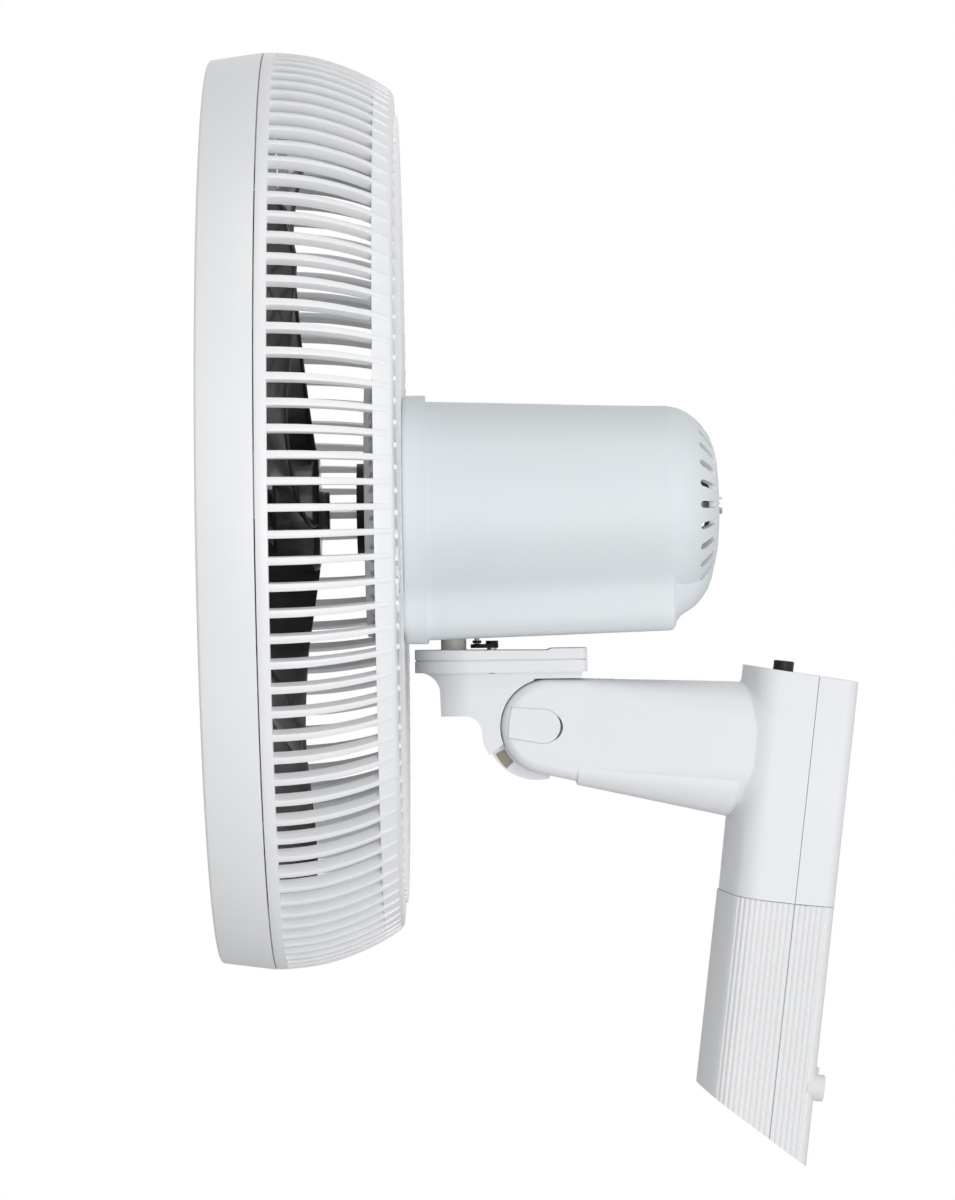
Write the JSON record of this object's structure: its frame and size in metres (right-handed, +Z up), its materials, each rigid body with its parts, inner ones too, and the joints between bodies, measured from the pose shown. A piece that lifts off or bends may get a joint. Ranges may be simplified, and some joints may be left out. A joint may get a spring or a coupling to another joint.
{
  "type": "wall mounted fan",
  "caption": "Wall mounted oscillating fan: slatted round guard, smoked blade, motor head that swings and tilts on an arm from a hollow wall column.",
  "frame": {"origin": "middle of the two keyholes in the steel plate in the column's back, on the plate's outer face", "axes": "+Z up the wall, +X into the wall, -X the way the fan blows, Y across the column"},
  "size_m": [0.3526, 0.45, 0.5138],
  "materials": {
    "guard_white": "satin moulded",
    "housing_white": "glossy moulded",
    "column_white": "fine matt moulded",
    "ribbed_white": "fine matt moulded",
    "blade_smoke": "glossy smoke tinted",
    "black_plastic": "satin",
    "cream_plastic": "natural moulded",
    "beige_plastic": "natural moulded",
    "bright_steel": "zinc plated",
    "core_steel": "varnished laminations",
    "cast_alloy": "as cast",
    "winding_brown": "varnished copper wire with lacing",
    "bush_bronze": "sintered",
    "washer_nylon": "natural",
    "bumper_white": "matt",
    "board_green": "solder mask",
    "capacitor_case": "moulded",
    "spring_steel": "drawn wire"
  },
  "bodies": {
    "column": {"arm_column_front": "column_white", "arm_lower_cover": "column_white", "column_rear": "column_white", "ribbed_front": "ribbed_white", "ribbed_rear": "ribbed_white", "shell_screws": "bright_steel", "cover_screws": "bright_steel", "tilt_bolt": "bright_steel", "tilt_nut": "bright_steel", "tilt_washers": "washer_nylon", "tilt_caps": "column_white", "hanger_plate": "bright_steel", "wall_bumpers": "bumper_white", "button_switch": "black_plastic", "button_spring": "spring_steel", "control_board": "board_green", "run_capacitor": "capacitor_case", "cord_gland": "black_plastic"},
    "neck": {"neck": "column_white", "swivel_cap": "column_white", "cap_screws": "bright_steel", "swivel_post": "cream_plastic", "swivel_washer": "bright_steel", "swivel_clip": "bright_steel", "swing_motor": "bright_steel", "tilt_insert": "beige_plastic"},
    "head": {"front_guard": "guard_white", "badge_disc": "guard_white", "rear_guard": "guard_white", "guard_clips": "guard_white", "guard_nut": "guard_white", "motor_front_cover": "housing_white", "front_bracket": "cast_alloy", "rear_bracket": "cast_alloy", "front_bush": "bush_bronze", "rear_bush": "bush_bronze", "stator_core": "core_steel", "stator_windings": "winding_brown", "motor_screws": "bright_steel", "motor_housing": "housing_white", "housing_screw": "bright_steel", "swivel_bracket": "cast_alloy"},
    "rotor": {"fan_blade": "blade_smoke", "blade_nut": "blade_smoke", "motor_shaft": "bright_steel", "rotor_core": "core_steel"},
    "crank": {"swing_crank": "black_plastic", "swing_motor_shaft": "bright_steel"},
    "link": {"swing_link": "black_plastic"},
    "button": {"power_button": "black_plastic"}
  },
  "joints": [
    {"name": "tilt", "type": "hinge", "parent": "column", "child": "neck", "pos_m": [-0.148, 0, 0], "axis": [0, -1, 0], "range_deg": [0, 20]},
    {"name": "swing", "type": "hinge", "parent": "neck", "child": "head", "pos_m": [-0.19859, 0, 0.0354], "axis": [-0.1219, 0, 0.9925], "range_deg": [-40, 40]},
    {"name": "blade_spin", "type": "hinge", "parent": "head", "child": "rotor", "pos_m": [-0.29438, 0, 0.09013], "axis": [0.9925, 0, 0.1219], "continuous": true},
    {"name": "crank_turn", "type": "hinge", "parent": "neck", "child": "crank", "pos_m": [-0.1796, 0.013, 0.03571], "axis": [-0.1219, 0, 0.9925], "range_deg": [-91, 91]},
    {"name": "link_turn", "type": "hinge", "parent": "head", "child": "link", "pos_m": [-0.18718, 0, 0.0368], "axis": [-0.1219, 0, 0.9925], "range_deg": [-41, 41]},
    {"name": "button_press", "type": "slide", "parent": "column", "child": "button", "axis": [0, 0, -1], "range_m": [0, 0.0018], "stiffness_N_per_m": 400, "springref_m": -0.001, "deforming": ["button_spring"]}
  ],
  "couplings": [
    {"joint": "crank_turn", "follows": "swing", "ratio": -2.25},
    {"joint": "link_turn", "follows": "swing", "ratio": -1}
  ]
}
